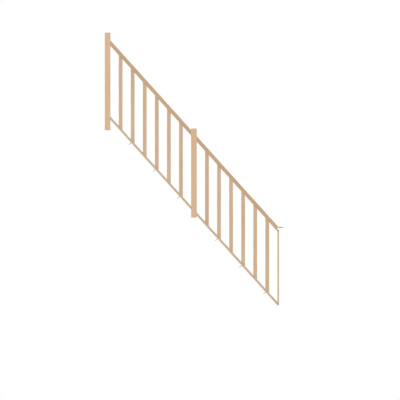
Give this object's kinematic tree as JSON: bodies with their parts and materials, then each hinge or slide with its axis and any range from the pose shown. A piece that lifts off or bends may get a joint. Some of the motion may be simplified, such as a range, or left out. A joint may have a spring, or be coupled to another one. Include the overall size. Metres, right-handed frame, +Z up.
{
  "type": "stair balustrade panel",
  "caption": "Raking timber stair balustrade: square newels, sloping handrail and base rail, square balusters let into grooves between infill fillets, with fixing screws left standing out.",
  "frame": {"origin": "centre of the middle newel's foot, on its flat underside", "axes": "+X level along the flight, pointing downhill; +Y across the panel; +Z up"},
  "size_m": [1.991, 0.063, 3.0324],
  "materials": {
    "newel_beech": "planed, clear satin",
    "baluster_beech": "planed, clear satin",
    "handrail_beech": "moulded, clear satin",
    "base_rail_beech": "planed, clear satin",
    "batten_beech": "planed, clear satin",
    "screw_steel": "zinc plated"
  },
  "bodies": {
    "root": {"top_newel": "newel_beech", "middle_newel": "newel_beech", "upper_handrail": "handrail_beech", "upper_base_rail": "base_rail_beech", "upper_handrail_fillets": "handrail_beech", "upper_base_fillets": "base_rail_beech", "upper_baluster_1": "baluster_beech", "upper_baluster_2": "baluster_beech", "upper_baluster_3": "baluster_beech", "upper_baluster_4": "baluster_beech", "upper_baluster_5": "baluster_beech", "upper_baluster_6": "baluster_beech", "upper_rail_screw_1": "screw_steel", "upper_rail_screw_2": "screw_steel", "upper_rail_screw_3": "screw_steel", "lower_handrail": "handrail_beech", "lower_base_rail": "base_rail_beech", "lower_handrail_fillets": "handrail_beech", "lower_base_fillets": "base_rail_beech", "lower_baluster_1": "baluster_beech", "lower_baluster_2": "baluster_beech", "lower_baluster_3": "baluster_beech", "lower_baluster_4": "baluster_beech", "lower_baluster_5": "baluster_beech", "lower_baluster_6": "baluster_beech", "lower_rail_screw_1": "screw_steel", "lower_rail_screw_2": "screw_steel", "lower_rail_screw_3": "screw_steel", "end_batten": "batten_beech", "end_screw": "screw_steel"}
  },
  "joints": []
}
